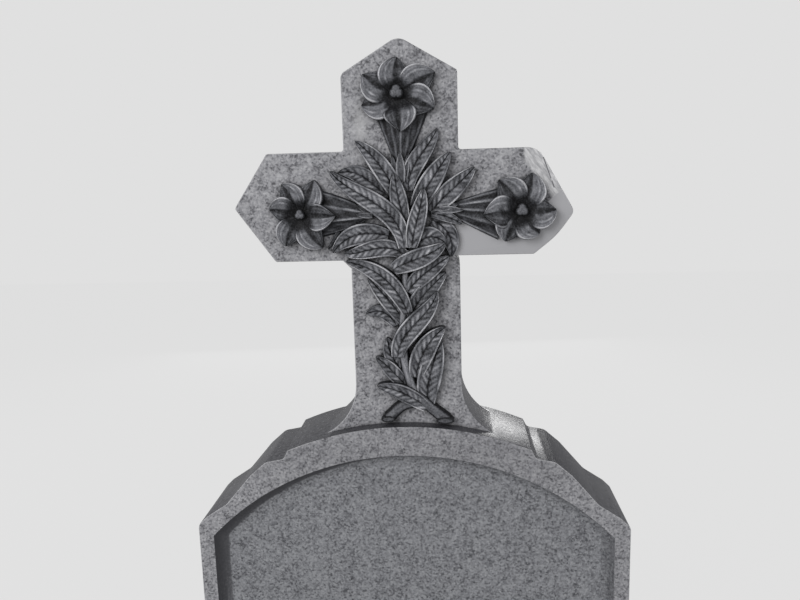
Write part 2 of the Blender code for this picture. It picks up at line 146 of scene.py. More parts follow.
tablet = {
    "halfWidth": 0.301,
    "height": 0.659,            # underside to the crown of the arch
    "thickness": 0.131,
    "archRadius": 0.430,
    "archEnd": 0.167,           # from the middle line to the end of the arch
    "shoulder": [               # outwards: width taken, drop, rounding of the far corner
        (0.006, 0.0120, 0.008),
        (0.026, 0.0048, 0.016),
        (0.023, 0.0200, 0.022),
        (0.036, 0.0420, 0.024),
        (0.030, 0.0195, 0.016),
        (0.013, 0.0127, 0.012),
    ],
    "arris": 0.0011,
}
panel = {
    "side": 0.021,
    "top": 0.041,
    "bottom": 0.062,
    "springDrop": 0.016,        # arch of the panel starts this far under the outer corner
    "cove": 0.018,
    "coveSteps": 9,
}
cross = {
    "ledge": 0.020,             # tablet top left standing in front of the cross
    "stemLeft": 0.0705,
    "stemRight": 0.0745,
    "stemLength": 0.2300,
    "footRadius": 0.080,
    "footSink": 0.0015,
    "rootDepth": 0.075,         # how far the cross reaches into the tablet
    "armTop": (0.0705, 0.0690),     # left and right, over the middle line of the arms
    "armLow": (0.0725, 0.0685),
    "armStraight": 0.102,
    "armPoint": 0.047,
    "pointSag": 0.014,          # the right point sits lower
    "repairBulge": 0.0052,      # and the mended edge under it swells outwards
    "bulgeRound": 0.100,
    "armRound": 0.005,
    "wornRound": 0.025,         # rubbed upper corner of the right arm
    "headStraight": 0.0975,
    "headPoint": 0.044,
    "headOverhang": 0.0045,
    "headRounds": (0.010, 0.020, 0.004),
    "innerRound": 0.004,
    "chamferLeft": 0.011,
    "nick": (0.006, 0.013),     # small chip in the right corner under the arm
    "arris": 0.0013,
}

front = -tablet["thickness"] / 2
crossFace = front + cross["ledge"]
armsZ = tablet["height"] + cross["stemLength"] + cross["armLow"][1]


def outlineFace(corners, y):
    # each rounded corner is a vertex spun about the middle of its arc
    bm = bmesh.new()
    ends = []
    for index, (x, z, radius) in enumerate(corners):
        here = Vector((x, y, z))
        px, pz, _ = corners[index - 1]
        nx, nz, _ = corners[(index + 1) % len(corners)]
        before = (Vector((px, y, pz)) - here).normalized()
        after = (Vector((nx, y, nz)) - here).normalized()
        turn = math.pi - before.angle(after)
        if radius == 0 or turn < 0.02:
            vert = bm.verts.new(here)
            ends.append((vert, vert))
            continue
        start = here + before * radius * math.tan(turn / 2)
        middle = here + (before + after).normalized() * radius / math.cos(turn / 2)
        last = here + after * radius * math.tan(turn / 2)
        side = math.copysign(1, (start - middle).cross(last - middle).y)
        vert = bm.verts.new(start)
        steps = max(2, round(math.degrees(turn) / (1.2 if radius > 0.2 else 6)))
        spun = bmesh.ops.spin(bm, geom=[vert], cent=middle, axis=(0, 1, 0),
                              angle=side * turn, steps=steps)
        ends.append((vert, vertsOf(spun["geom_last"])[0]))
    for index, (vert, _) in enumerate(ends):
        before = ends[index - 1][1]
        if (before.co - vert.co).length > 1e-6:
            bm.edges.new((before, vert))
    bmesh.ops.remove_doubles(bm, verts=bm.verts[:], dist=1e-6)
    bmesh.ops.contextual_create(bm, geom=bm.edges[:])
    return bm


def slab(name, corners, near, far, arris):
    bm = outlineFace(corners, near)
    grown = bmesh.ops.extrude_face_region(bm, geom=bm.faces[:])
    bmesh.ops.translate(bm, verts=vertsOf(grown["geom"]), vec=(0, far - near, 0))
    closeShell(bm)
    if arris:
        rim = [edge for edge in bm.edges if abs(edge.verts[0].co.y - edge.verts[1].co.y) < 1e-6
               and edge.verts[0].co.z + edge.verts[1].co.z > 1e-6]
        bmesh.ops.bevel(bm, geom=rim, offset=arris, segments=3, profile=0.5, affect="EDGES",
                        material=-1, clamp_overlap=True)
    return newObject(name, bm)


def archCorner(radius, middleZ, halfSpan):
    # where the tangents at both ends of an arch meet
    return (0, middleZ + radius / math.cos(math.asin(halfSpan / radius)), radius)


def tabletCorners():
    x = tablet["archEnd"]
    radius = tablet["archRadius"]
    middleZ = tablet["height"] - radius
    z = middleZ + math.sqrt(radius ** 2 - x ** 2)
    half = [(x, z, 0)]
    for run, drop, rounding in tablet["shoulder"]:
        x += run
        z -= drop
        half.append((x, z, rounding))
    right = [(tablet["halfWidth"], 0, 0)] + half[::-1]
    left = [(-x, z, rounding) for x, z, rounding in right[::-1]]
    return right + [archCorner(radius, middleZ, tablet["archEnd"])] + left


def panelHollow():
    half = tablet["halfWidth"] - panel["side"]
    crown = tablet["height"] - panel["top"]
    spring = tabletCorners()[1][1] - panel["springDrop"]
    rise = crown - spring
    radius = (half ** 2 + rise ** 2) / (2 * rise)
    corners = [(half, panel["bottom"], 0), (half, spring, 0),
               archCorner(radius, crown - radius, half),
               (-half, spring, 0), (-half, panel["bottom"], 0)]
    hollow = slab("panelHollow", corners, front - 0.02, front, 0)
    bm = bmesh.new()
    bm.from_mesh(hollow.data)
    floor = [face for face in bm.faces if all(vert.co.y > front - 1e-6 for vert in face.verts)]
    for step in range(panel["coveSteps"]):
        low = math.pi / 2 * step / panel["coveSteps"]
        high = math.pi / 2 * (step + 1) / panel["coveSteps"]
        bmesh.ops.inset_region(
            bm, faces=floor, use_even_offset=True, use_boundary=True,
            thickness=panel["cove"] * (math.cos(low) - math.cos(high)),
            depth=panel["cove"] * (math.sin(high) - math.sin(low)))
    bm.to_mesh(hollow.data)
    bm.free()
    return hollow


def footCorners(stem):
    # the flare's corner, where its tangents meet, and the point where it runs into the arch
    radius = cross["footRadius"]
    archRadius = tablet["archRadius"] - cross["footSink"]
    reach = archRadius + radius
    middleX = stem + radius
    middleZ = tablet["height"] - tablet["archRadius"] + math.sqrt(reach ** 2 - middleX ** 2)
    turn = math.acos(middleX / reach)

    def at(distance, angle, rounding):
        return (middleX - distance * math.cos(angle), middleZ - distance * math.sin(angle),
                rounding)

    return [at(radius / math.cos(turn / 2), turn / 2, radius), at(radius, turn, 0)]


def crossCorners():
    left = -cross["stemLeft"]
    right = cross["stemRight"]
    topLeft, topRight = (armsZ + value for value in cross["armTop"])
    lowLeft, lowRight = (armsZ - value for value in cross["armLow"])
    head = topLeft + cross["headStraight"]
    headLeft = left - cross["headOverhang"]
    leftRound, apexRound, rightRound = cross["headRounds"]
    nickIn, nickDown = cross["nick"]
    small = cross["armRound"]
    reach = cross["armStraight"]
    rightFoot = footCorners(cross["stemRight"])
    leftFoot = [(-x, z, radius) for x, z, radius in footCorners(cross["stemLeft"])]
    root = tablet["height"] - cross["rootDepth"]
    corner = Vector((right + reach - small, lowRight))
    point = Vector((right + reach + cross["armPoint"], armsZ - cross["pointSag"]))
    low = (corner + point) / 2
    along = (point - corner).normalized()
    outwards = Vector((along.y, -along.x)) * cross["repairBulge"]
    return [
        (right, lowRight - nickDown, 0),
        (right - nickIn, lowRight, 0),
        (right + reach - small, lowRight, small),
        (low.x + outwards.x, low.y + outwards.y, cross["bulgeRound"]),
        (point.x, point.y, 2 * small),
        (right + reach, topRight, cross["wornRound"]),
        (right, topRight, cross["innerRound"]),
        (right, head, rightRound),
        ((headLeft + right) / 2, head + cross["headPoint"], apexRound),
        (headLeft, head, leftRound),
        (headLeft, topLeft, cross["innerRound"]),
        (left - reach - small, topLeft, small),
        (left - reach - cross["armPoint"] - small, armsZ, small),
        (left - reach, lowLeft, small),
        (left - cross["chamferLeft"], lowLeft, 0),
        (left, lowLeft - cross["chamferLeft"], 0),
        leftFoot[0], leftFoot[1],
        (leftFoot[1][0], root, 0),
        (rightFoot[1][0], root, 0),
        rightFoot[1], rightFoot[0],
    ]


def bowCurve(start, end, lowBow, highBow):
    start, end = Vector(start), Vector(end)
    line = end - start
    side = Vector((-line.y, line.x)).normalized()
    low = start + line / 3 + side * lowBow
    high = start + line * 2 / 3 + side * highBow
    return lambda t: (start * (1 - t) ** 3 + low * 3 * t * (1 - t) ** 2
                      + high * 3 * t ** 2 * (1 - t) + end * t ** 3)


def smoothPath(points):
    knots = [Vector(point) for point in points]
    knots = [knots[0] * 2 - knots[1]] + knots + [knots[-1] * 2 - knots[-2]]
    spans = len(points) - 1

    def at(t):
        index = min(int(t * spans), spans - 1)
        u = t * spans - index
        a, b, c, d = knots[index:index + 4]
        return (b * 2 + (c - a) * u + (a * 2 - b * 5 + c * 4 - d) * u ** 2
                + (b * 3 - a - c * 3 + d) * u ** 3) / 2

    return at


def pathLength(path):
    points = [path(step / 40) for step in range(41)]
    return sum((b - a).length for a, b in zip(points, points[1:]))


carving = {
    "depth": 0.0193,            # highest point over the face of the cross
    "sink": 0.006,              # how far the shells reach into the stone before they are joined
    "sinkStep": 0.00004,
    "edgeDrop": 0.0012,
    "least": 0.0005,
}


def toneFaces(bm, toneOf, carved=1):
    # u is the tone of the stone, which on the carving holds its painted shade and painted
    # highlights, and v is 1 on the carving
    toneMap = bm.loops.layers.uv.new("carvedTone")
    for face in bm.faces:
        for loop in face.loops:
            loop[toneMap].uv = (toneOf(loop.vert), carved)


shells = bpy.data.collections.new("carvingShells")
bpy.context.scene.collection.children.link(shells)


def addShell(name, bm):
    shell = newObject(name, bm)
    bpy.context.scene.collection.objects.unlink(shell)
    shells.objects.link(shell)


def lensOutline(width, start, fullness=1, skew=1):
    # half width from where a lens outline is cut off at the foot to its point
    def halfWidth(t):
        u = (start + (1 - start) * t) ** skew
        return width / 2 * math.sin(math.pi * u) ** fullness if t < 0.9999 else 0

    return halfWidth


def blend(tones, **parts):
    # the tone of the ground, and each part's share on it
    return tones["ground"] + sum(tones[name] * value for name, value in parts.items())


def carve(name, path, halfWidth, shape, along, across):
    # a grid bent along the path; shape(t, s) gives its height over the cross and its tone of
    # painted shade and highlight, from 0 in the grooves to 1 on the ridges; the rows are closer
    # near the two rims
    bm = bmesh.new()
    bmesh.ops.create_grid(bm, x_segments=along, y_segments=across, size=0.5)
    tones = bm.verts.layers.float.new("tone")
    for vert in bm.verts:
        t = vert.co.x + 0.5
        half = halfWidth(t)
        s = math.sin(vert.co.y * math.pi) if half > 0 else 0.0
        here = path(t)
        heading = (path(min(t + 0.01, 1)) - path(max(t - 0.01, 0))).normalized()
        aside = Vector((-heading.y, heading.x)) * half * s
        height, tone = shape(t, s)
        height -= carving["edgeDrop"] * softStep(abs(s), 0.93, 1.0)
        vert[tones] = min(max(tone, 0), 1)
        vert.co = (here.x + aside.x, crossFace - max(height, carving["least"]),
                   here.y + aside.y + armsZ)
    bmesh.ops.remove_doubles(bm, verts=bm.verts[:], dist=1e-5)
    grown = bmesh.ops.extrude_face_region(bm, geom=bm.faces[:])
    depth = carving["sink"] + carving["sinkStep"] * len(shells.objects)
    # the sunk walls fade to tone 0: painted shade along the outline of the relief
    for vert in vertsOf(grown["geom"]):
        vert.co.y = crossFace + depth
        vert[tones] = 0
    closeShell(bm)
    toneFaces(bm, lambda vert: vert[tones])
    bm.verts.layers.float.remove(tones)
    addShell(name, bm)


# Leaves, in millimetres from the middle of the arms: foot and tip, each across and up, bow at one
# and two thirds, width; and the share of the carving's depth that they rise
leaves = {
    "sweepingLeft": (2, -56, -92, 46, -39, 4, 27, 0.94),
    "upperLeft": (-2, 7, -58, 83, -6, -10, 26, 0.62),
    "upperLeftBack": (-17, 12, -82, 43, -1, -20, 27, 0.40),
    "middleLeft": (4, -22, -8, 41, 3, 2, 23, 0.80),
    "middleRight": (12, -56, 29, 21, 3, -3, 24, 0.96),
    "upperRightBack": (9, 18, 48, 96, 16, -2, 25, 0.52),
    "upperRight": (18, -4, 64, 66, 2, 1, 28, 0.68),
    "armRight": (38, -10, 95, 46, 3, -2, 27, 0.58),
    "curlRight": (38, -13, 78, -27, 5, 4, 14, 0.62),
    "hangingRight": (40, -21, 63, -69, 13, 14, 25, 0.34),
    "behindLily": (-80, -30, -100, -57, 2, 2, 12, 0.26),
    "lowLeftBack": (-19, -40, -93, -61, -15, -20, 28, 0.60),
    "lowLeft": (2, -66, -78, -62, -22, 2, 24, 0.74),
    "foldedFront": (-13, -84, 56, -50, 2, -8, 27, 1.00),
    "foldedBack": (11, -60, 57, -52, 14, 21, 30, 0.66),
    "stemLeft": (4, -143, -76, -72, -21, -21, 25, 0.84),
    "stemRight": (5, -115, 61, -68, 7, 3, 25, 0.68),
    "stemRightBack": (7, -153, 56, -90, 9, 5, 27, 0.54),
    "stemLeftBack": (1, -158, -48, -94, -4, -2, 24, 0.56),
    "smallLeft": (-12, -161, -53, -145, -14, -16, 20, 0.40),
    "crossing": (-11, -203, 44, -114, 18, -11, 28, 0.92),
    "crossingBack": (-7, -225, -24, -177, 4, 6, 22, 0.36),
    "footRight": (13, -232, 53, -163, 10, 11, 30, 0.74),
    "footRightBack": (28, -271, 45, -177, 9, -1, 33, 0.58),
    "footLeft": (-2, -244, -41, -204, -1, -4, 21, 0.46),
    "lowestLeft": (27, -275, -40, -243, -8, -8, 23, 0.80),
}
leafShape = {
    "steps": 0.0014,            # mesh spacing along a leaf
    "across": 22,
    "start": 0.14,              # where on its lens outline a leaf begins
    "fullness": 0.62,
    "cup": 0.0010,              # hollow between the rims
    "tipFall": 0.12,
    "rimHeight": 0.0010,
    "veinHeight": 0.0008,
    "veinSpacing": 0.0096,
    "veinLean": 1.2,            # how far a vein runs on towards the tip for its way across
    "veinWander": 0.60,
    "ribDepth": 0.0012,
    # painted highlights on the rims and veins, painted shade in the midrib, the grooves and the
    # notches; mottle and dust are the stone's own tone
    "tones": {"ground": 0.31, "rim": 0.50, "vein": 0.30, "rib": -0.24, "groove": -0.14,
              "notch": -0.26, "mottle": 0.26, "dust": 0.10},
}


def carveLeaf(name, seed, *row):
    footX, footZ, tipX, tipZ, lowBow, highBow, width = (value / 1000 for value in row[:7])
    share = row[7]
    path = bowCurve((footX, footZ), (tipX, tipZ), lowBow, highBow)
    length = pathLength(path)
    halfWidth = lensOutline(width, leafShape["start"], leafShape["fullness"])

    def shape(t, s):
        a = abs(s)
        side = seed * 7.3 + (3.1 if s > 0 else 0)
        rise = 0.70 + 0.27 * softStep(t, 0, 0.45) - leafShape["tipFall"] * t ** 4
        stroke = (t * length - leafShape["veinLean"] * a * halfWidth(t)) / leafShape["veinSpacing"]
        stroke += leafShape["veinWander"] * rough(t * length * 38, side, 0.3)
        number = math.floor(stroke + 0.5)
        strength = 0.85 + 1.1 * rough(number * 1.7, side, 1.9)
        reach = 0.66 + 0.45 * rough(number * 2.3, side, 5.1)
        wave = math.cos(2 * math.pi * (stroke - number))
        vein = max(0, 0.30 + 0.70 * wave) * max(strength, 0.1)
        vein *= softStep(a, 0.03, 0.14) * (1 - softStep(a, reach - 0.25, reach + 0.25))
        notch = max(0, -0.35 - wave) * (1 - softStep(a, 0.35, 0.70))
        notch *= 1 - softStep(t, 0.86, 0.98)
        vein *= (1 - softStep(t, 0.84, 0.98)) * softStep(width, 0.010, 0.020)
        rim = softStep(a, 0.76, 0.87) * (1 - softStep(a, 0.96, 1.0))
        rim *= 0.70 + 1.0 * rough(t * length * 42, side, 7.7)
        groove = bump(a, 0.76, 0.09)
        rib = bump(a, 0, 0.10)
        fade = min(1, t / 0.12)
        height = carving["depth"] * share * rise - leafShape["cup"] * (1 - a * a)
        height += fade * (leafShape["rimHeight"] * rim + leafShape["veinHeight"] * vein
                          - leafShape["ribDepth"] * rib)
        mottle = rough(t * 5, s * 1.5, seed)
        dust = rough(t * length * 400, s * 5, seed)
        tone = blend(leafShape["tones"], rim=rim, vein=vein, rib=rib, groove=groove, notch=notch,
                     mottle=mottle, dust=dust)
        # leaves that lie lower are painted darker as painted shade, and painted shade darkens
        # their outline
        return height, tone * (0.84 + 0.20 * share) * (1 - 0.7 * softStep(a, 0.96, 1.0))

    carve(name, path, halfWidth, shape, max(16, round(length / leafShape["steps"])),
          leafShape["across"])


# Lilies: middle, side on which the petals' raised rims lie, petal width, number of the petal
# that lies over the trumpet, and each petal's heading and length
lilies = {
    "top": ((-0.0025, 0.138), 1, 0.041, 3, [
        (88, 0.047), (28, 0.056), (-21, 0.050), (-86, 0.046), (-167, 0.047), (147, 0.051)]),
    "left": ((-0.136, -0.011), -1, 0.035, 5, [
        (65, 0.051), (117, 0.047), (168, 0.040), (-116, 0.044), (-55, 0.052), (-1, 0.049)]),
    "right": ((0.155, -0.012), -1, 0.041, 5, [
        (126, 0.050), (75, 0.050), (2, 0.044), (-51, 0.037), (-118, 0.044), (-176, 0.050)]),
}
petals = {
    "bow": 0.005,
    "steps": 0.0012,
    "across": 22,
    "start": 0.14,
    "skew": 1.15,
    "fullness": 0.82,
    "share": 0.79,
    "frontShare": 0.93,
    "frontWidth": 1.04,         # of the width of its neighbours
    "tilt": 0.17,               # how far the raised rim stands over the other edge
    "frontTilt": 0.15,          # of its neighbours' tilt, and half of their bow
    "ridges": 5,                # fine lines along the raised half
    "faintRidges": 4,
    "ridgeHeight": 0.0008,
    "rimHeight": 0.0008,
    "farRimHeight": 0.0005,
    "farRims": (0.35, 0.9),     # how far the other rim shows on a petal and on the front one
    # painted light on the raised half of each petal, painted highlights on its rims and ridges,
    # painted shade in its groove; mottle is the stone's own tone
    "tones": {"ground": 0.14, "raised": 0.18, "rim": 0.56, "lines": 0.46, "faint": 0.14,
              "farRim": 0.45, "groove": -0.12, "mottle": 0.16},
    "throatInner": 0.0125,
    "throatOuter": 0.0235,
    "throatRadius": 0.015,
    "throatRise": 0.16,
    "throatSink": 0.0052,       # each knob reaches a little deeper than the one before it
    "stalkSink": 0.0031,
    "knobRise": 0.62,
    "lobe": 0.68,               # its radius and its way from the middle, in the stigma's radius
    "lobeSpread": 0.33,
    "lobeTones": (0.34, 0.10),  # painted highlight on its top and painted shade on its sides
    "stalkTone": 0.30,
}
# Stigmas: middle and radius
stigmas = {"top": ((-0.0030, 0.1424), 0.0092), "left": ((-0.1346, -0.0093), 0.0070),
           "right": ((0.1551, -0.0103), 0.0086)}


def carvePetal(name, seed, middle, rimSide, width, isFront, degrees, length):
    heading = Vector((math.cos(math.radians(degrees)), math.sin(math.radians(degrees))))
    middle = Vector(middle)
    start = middle + heading * petals["throatRadius"] * 0.4
    bow = petals["bow"] * rimSide * (0.5 if isFront else 1)
    path = bowCurve(start, middle + heading * length, bow, bow)
    tilt = petals["tilt"] * (petals["frontTilt"] if isFront else 1)
    share = petals["frontShare" if isFront else "share"]
    far = pathLength(path)
    if isFront:
        halfWidth = lensOutline(petals["frontWidth"] * width, petals["start"])
    else:
        halfWidth = lensOutline(width, petals["start"], petals["fullness"], petals["skew"])

    def shape(t, s):
        r = s * rimSide                 # 1 at the raised rim
        rise = 0.34 + 0.66 * softStep(t, 0, 0.50) - 0.22 * t ** 3
        slant = 1 - tilt * (1 - r) - 0.10 * bump(r, -0.10, 0.28)
        height = carving["depth"] * share * rise * slant
        lines = max(0, math.cos(2 * math.pi * petals["ridges"] * (r - 0.92))) ** 1.2
        lines *= softStep(r, -0.2, 0.2) * softStep(t, 0.10, 0.35) * (1 - softStep(t, 0.8, 1.0))
        lines *= 0.7 + 1.0 * rough(t * 5, math.floor(r * 5), seed)
        faint = max(0, math.cos(2 * math.pi * petals["faintRidges"] * (r + 0.9)))
        faint *= softStep(-r, 0.15, 0.4)
        rim = softStep(r, 0.82, 0.88) * (1 - softStep(r, 0.96, 1.0)) * softStep(t, 0.05, 0.2)
        rim *= 0.72 + 0.5 * rough(t * 5, seed, 3.1)
        farRim = softStep(-r, 0.84, 0.90) * (1 - softStep(-r, 0.97, 1.0))
        farRim *= petals["farRims"][isFront]
        height += (petals["ridgeHeight"] * (lines + 0.5 * faint) + petals["rimHeight"] * rim
                   + petals["farRimHeight"] * farRim)
        tone = blend(petals["tones"], raised=softStep(r, -0.1, 0.4), rim=rim, lines=lines,
                     faint=faint, farRim=farRim, groove=bump(r, -0.10, 0.20),
                     mottle=rough(t * 6, s * 2, seed))
        # painted shade: the petals darken into the throat
        reach = petals["throatRadius"] * 0.4 + t * far
        tone *= softStep(reach, petals["throatInner"], petals["throatOuter"])
        return height, tone

    carve(name, path, halfWidth, shape, max(16, round(length / petals["steps"])),
          petals["across"])


def standUp(bm, middle, y):
    # lying flat, it is turned to face forwards, and then put in its place on the cross
    bmesh.ops.rotate(bm, verts=bm.verts[:], cent=(0, 0, 0),
                     matrix=Matrix.Rotation(math.pi / 2, 3, "X"))
    bmesh.ops.translate(bm, verts=bm.verts[:], vec=(middle[0], y, middle[1] + armsZ))


def carveKnob(name, middle, radius, topRadius, rise, tone, sink):
    bm = bmesh.new()
    top = carving["depth"] * rise
    height = top + sink
    bmesh.ops.create_cone(bm, cap_ends=True, segments=32, radius1=radius, radius2=topRadius,
                          depth=height)
    rim = [edge for edge in bm.edges if all(vert.co.z > 0 for vert in edge.verts)]
    bmesh.ops.bevel(bm, geom=rim, offset=radius * 0.25, segments=4, profile=0.5, affect="EDGES",
                    material=-1, clamp_overlap=True)
    standUp(bm, middle, crossFace - top + height / 2)
    closeShell(bm)
    # the top keeps its tone and the sides are painted darker, as painted shade
    toneFaces(bm, lambda vert: tone if vert.co.y < crossFace - top * 0.8 else tone * 0.3)
    addShell(name, bm)


def carveStigma(name, middle, radius):
    # a stalk with three round lobes on it
    rise = petals["knobRise"]
    carveKnob(name + "_stalk", middle, radius * 0.85, radius * 0.7, rise - 0.12,
              petals["stalkTone"], petals["stalkSink"])
    y = crossFace - carving["depth"] * (rise - 0.10)
    spread = petals["lobeSpread"] * radius
    lobeTop, lobeSide = petals["lobeTones"]
    for number in range(3):
        angle = math.radians(90 + 120 * number)
        bm = bmesh.new()
        bmesh.ops.create_uvsphere(bm, u_segments=20, v_segments=12, radius=radius * petals["lobe"])
        bmesh.ops.translate(bm, verts=bm.verts[:], vec=(
            middle[0] + spread * math.cos(angle), y, middle[1] + armsZ + spread * math.sin(angle)))
        closeShell(bm)
        # painted highlight on the tops of the lobes and painted shade on their sides
        toneFaces(bm, lambda vert: lobeTop if vert.co.y < y - radius * 0.45 else lobeSide)
        addShell(f"{name}_lobe{number}", bm)


# Trumpets behind the lilies: narrow end, mouth, half widths at both, flare, and each rib's place
# across and strength
trumpets = {
    "top": ((0.000, 0.050), (0.002, 0.117), 0.0065, 0.0340, 0.95,
            ((-0.88, 0.35), (-0.45, 0.40), (0.0, 1.0), (0.45, 0.45), (0.88, 0.35))),
    "left": ((-0.047, -0.0125), (-0.108, -0.0096), 0.0050, 0.0310, 0.62,
             ((-0.90, 0.7), (-0.35, 1.0), (0.30, 1.0), (0.90, 0.6))),
    "right": ((0.060, -0.0070), (0.128, -0.0146), 0.0060, 0.0344, 0.90,
              ((-0.90, 0.8), (-0.42, 0.7), (0.10, 0.7), (0.55, 1.0), (0.90, 0.4))),
}
trumpetShape = {
    "riseNear": 0.34,
    "riseFar": 0.44,
    "ribWidth": 0.0012,
    "ribHeight": 0.0016,
    "mouthSink": 0.3,           # share by which it falls under the petals
    "steps": 44,
    "across": 40,
    # painted highlights on the ribs over painted shade on the dark flanks; mottle is the stone's
    # own tone
    "tones": {"ground": 0.11, "rib": 0.70, "mottle": 0.24},
}


def carveTrumpet(name, seed, base, mouth, startHalf, endHalf, flare, ribs):
    path = bowCurve(base, mouth, 0, 0)

    def halfWidth(t):
        return startHalf + (endHalf - startHalf) * t ** flare

    def shape(t, s):
        dome = 0.25 + 0.75 * math.sqrt(max(1 - s * s, 0))
        near, far = trumpetShape["riseNear"], trumpetShape["riseFar"]
        sunk = 1 - trumpetShape["mouthSink"] * softStep(t, 0.75, 1)
        height = carving["depth"] * (near + (far - near) * t) * dome * sunk
        rib = max(strength * bump(s, place, trumpetShape["ribWidth"] / halfWidth(t))
                  for place, strength in ribs)
        rib *= 0.75 + 0.5 * rough(t * 3, round(s * 2), seed)
        mottle = rough(t * 4, s * 6, seed)
        return (height + trumpetShape["ribHeight"] * rib,
                blend(trumpetShape["tones"], rib=rib, mottle=mottle))

    carve(name, path, halfWidth, shape, trumpetShape["steps"], trumpetShape["across"])


# Sepals at the narrow ends of the trumpets: foot, tip, width, rise share
sepals = {
    "topMiddle": ((0.0003, 0.0300), (-0.0006, 0.0690), 0.0130, 0.62),
    "topLeft": ((-0.0050, 0.0330), (-0.0115, 0.0650), 0.0085, 0.50),
    "topRight": ((0.0045, 0.0330), (0.0105, 0.0670), 0.0085, 0.50),
    "leftUpper": ((-0.0400, -0.0110), (-0.0600, 0.0020), 0.0080, 0.52),
    "leftLower": ((-0.0390, -0.0130), (-0.0610, -0.0115), 0.0080, 0.56),
    "rightUpper": ((0.0490, -0.0060), (0.0740, -0.0010), 0.0090, 0.56),
    "rightLower": ((0.0490, -0.0070), (0.0810, -0.0085), 0.0100, 0.62),
}
sepalShape = {
    "start": 0.25,              # where on its lens outline a sepal begins
    "fullness": 0.9,
    "rimHeight": 0.0007,
    "hollow": 0.0006,
    # painted highlights on the rims; mottle is the stone's own tone
    "tones": {"ground": 0.26, "rim": 0.44, "mottle": 0.10},
}


def carveSepal(name, seed, start, end, width, share):
    path = bowCurve(start, end, 0, 0)

    def shape(t, s):
        a = abs(s)
        rim = softStep(a, 0.60, 0.80) * (1 - softStep(a, 0.95, 1.0))
        height = carving["depth"] * share * (0.85 + 0.15 * t)
        height += sepalShape["rimHeight"] * rim - sepalShape["hollow"] * bump(a, 0, 0.4)
        mottle = rough(t * 6, s * 3, seed)
        return height, blend(sepalShape["tones"], rim=rim, mottle=mottle)

    halfWidth = lensOutline(width, sepalShape["start"], sepalShape["fullness"])
    carve(name, path, halfWidth, shape, max(12, round(pathLength(path) / leafShape["steps"])), 12)


# Vine and its two roots: points, half width at both ends, rise share, tone
vines = {
    "vine": ([(0.006, -0.059), (0.0025, -0.080), (0.001, -0.110), (-0.003, -0.160),
              (-0.003, -0.197), (0.001, -0.225), (0.010, -0.250), (0.027, -0.270)],
             0.0052, 0.0084, 0.50, 0.50),
    "rootRight": ([(0.016, -0.257), (0.032, -0.275), (0.053, -0.293)], 0.0072, 0.0092, 0.62, 0.34),
    "rootLeft": ([(0.030, -0.274), (0.012, -0.269), (-0.007, -0.273), (-0.026, -0.290)],
                 0.0070, 0.0088, 0.54, 0.32),
}
bark = {
    "tone": 0.20,
    "height": 0.0003,
    "edgeTone": -1.1,           # painted shade down the sides, in times the tone of its middle
    "steps": 0.002,
}
# Cut ends of the roots: middle, half width, half height, rise share
cuts = {
    "right": ((0.0515, -0.2925), 0.0122, 0.0046, 0.68),
    "left": ((-0.0265, -0.2905), 0.0096, 0.0042, 0.60),
}
cutShape = {
    "ring": 0.36,               # width of the ring and of its slope, in half heights
    "slope": 0.10,
    "ringDepth": 0.0006,
    "tones": (0.26, 0.04),      # inside the ring and on it
    "sink": 0.0021,             # deeper than the other shells
}


def carveVine(name, seed, points, startHalf, endHalf, share, ground):
    path = smoothPath(points)
    length = pathLength(path)

    def shape(t, s):
        height = carving["depth"] * share * (0.30 + 0.70 * math.sqrt(max(1 - s * s, 0)))
        grain = rough(t * length * 60, s * 2.5, seed)
        tone = ground + bark["tone"] * grain
        # painted shade down the sides of the round vine
        tone += bark["edgeTone"] * ground * softStep(abs(s), 0.50, 0.85)
        return height + bark["height"] * grain, tone

    carve(name, path, lambda t: startHalf + (endHalf - startHalf) * t, shape,
          max(16, round(length / bark["steps"])), 16)


def carveCut(name, middle, halfWide, halfHigh, share):
    # an oval end face inside a dark ring
    bm = bmesh.new()
    bmesh.ops.create_circle(bm, cap_ends=True, segments=40, radius=1)
    bmesh.ops.scale(bm, verts=bm.verts[:], vec=(halfWide, halfHigh, 1))
    sink = carving["sink"] + cutShape["sink"]
    standUp(bm, middle, crossFace + sink)
    top = bmesh.ops.extrude_face_region(bm, geom=bm.faces[:])
    cap = [item for item in top["geom"] if isinstance(item, bmesh.types.BMFace)]
    rise = carving["depth"] * share + sink
    bmesh.ops.translate(bm, verts=vertsOf(top["geom"]), vec=(0, -rise, 0))
    for width, depth in ((cutShape["ring"], 0), (cutShape["slope"], -cutShape["ringDepth"])):
        bmesh.ops.inset_region(bm, faces=cap, thickness=halfHigh * width, depth=depth,
                               use_even_offset=True, use_boundary=True)
    middleVerts = {vert for face in cap for vert in face.verts}
    closeShell(bm)
    inside, ring = cutShape["tones"]
    toneFaces(bm, lambda vert: inside if vert in middleVerts else ring)
    addShell(name, bm)


def carvePlant():
    for seed, (name, row) in enumerate(leaves.items()):
        carveLeaf("leaf_" + name, seed, *row)
    for index, (name, (middle, rimSide, width, frontPetal, rows)) in enumerate(lilies.items()):
        for number, (degrees, length) in enumerate(rows):
            carvePetal(f"petal_{name}_{number}", index * 10 + number, middle, rimSide,
                       width, number == frontPetal, degrees, length)
        # a dark disc in the throat: painted shade where the flower is deep
        carveKnob(f"throat_{name}", middle, petals["throatRadius"], petals["throatRadius"],
                  petals["throatRise"], 0.0, petals["throatSink"] + index * 0.0001)
        carveStigma(f"stigma_{name}", *stigmas[name])
    for seed, (name, row) in enumerate(trumpets.items()):
        carveTrumpet("trumpet_" + name, seed, *row)
    for seed, (name, row) in enumerate(sepals.items()):
        carveSepal("sepal_" + name, seed, *row)
    for seed, (name, row) in enumerate(vines.items()):
        carveVine("vine_" + name, seed, *row)
    for name, row in cuts.items():
        carveCut("cut_" + name, *row)


